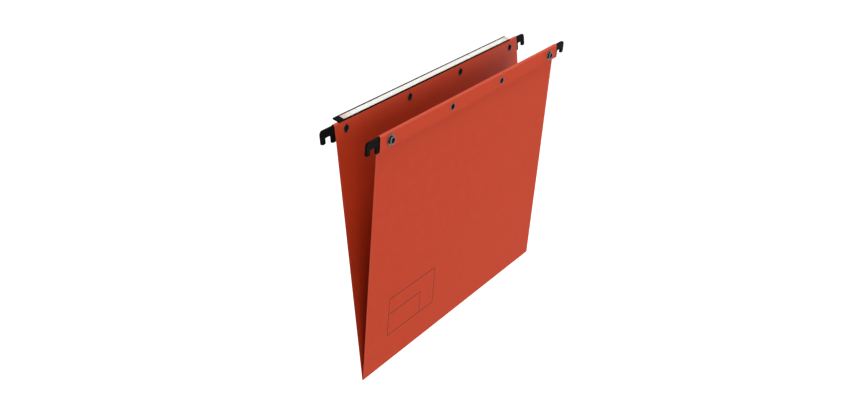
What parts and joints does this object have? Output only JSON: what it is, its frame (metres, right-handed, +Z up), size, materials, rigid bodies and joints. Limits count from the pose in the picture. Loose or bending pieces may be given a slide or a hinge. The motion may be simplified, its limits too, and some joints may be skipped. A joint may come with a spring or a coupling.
{
  "type": "hanging file folder",
  "caption": "V-shaped kraft card hanging file folder with hooked ends, press studs along the hems and a tilted label holder, for hanging papers from drawer rails.",
  "frame": {"origin": "midway between the four hook seats, in the plane on which the folder hangs", "axes": "+X along the fold, to the right seen from the front; -Y out of the front panel; +Z up"},
  "size_m": [0.349, 0.0576, 0.2524],
  "materials": {
    "card": "matte",
    "rail_steel": "satin",
    "hook_plastic": "satin",
    "nickel": "satin",
    "spring_steel": "satin",
    "holder_plastic": "satin",
    "label_paper": "matte",
    "clear_plastic": "gloss"
  },
  "bodies": {
    "rear_half": {"rear_panel": "card", "bottom_crease": "card", "rear_rail": "rail_steel", "label_holder": "holder_plastic", "rear_left_hook": "hook_plastic", "rear_left_socket": "nickel", "rear_left_socket_back": "nickel", "rear_left_rivet": "nickel", "rear_left_socket_spring": "spring_steel", "rear_right_hook": "hook_plastic", "rear_right_socket": "nickel", "rear_right_socket_back": "nickel", "rear_right_rivet": "nickel", "rear_right_socket_spring": "spring_steel"},
    "front_half": {"front_panel": "card", "front_rail": "rail_steel", "front_left_hook": "hook_plastic", "front_left_stud": "nickel", "front_left_stud_back": "nickel", "front_left_rivet": "nickel", "front_right_hook": "hook_plastic", "front_right_stud": "nickel", "front_right_stud_back": "nickel", "front_right_rivet": "nickel"},
    "label": {"label": "label_paper"},
    "cover": {"label_cover": "clear_plastic"}
  },
  "joints": [
    {"name": "fold", "type": "hinge", "parent": "rear_half", "child": "front_half", "pos_m": [0, 0, -0.24067], "axis": [1, 0, 0], "range_deg": [-9.84, 164.86], "deforming": ["bottom_crease"]},
    {"name": "label_slide", "type": "slide", "parent": "rear_half", "child": "label", "axis": [1, 0, 0], "range_m": [0, 0.27]},
    {"name": "cover_slide", "type": "slide", "parent": "rear_half", "child": "cover", "axis": [1, 0, 0], "range_m": [0, 0.27]}
  ]
}
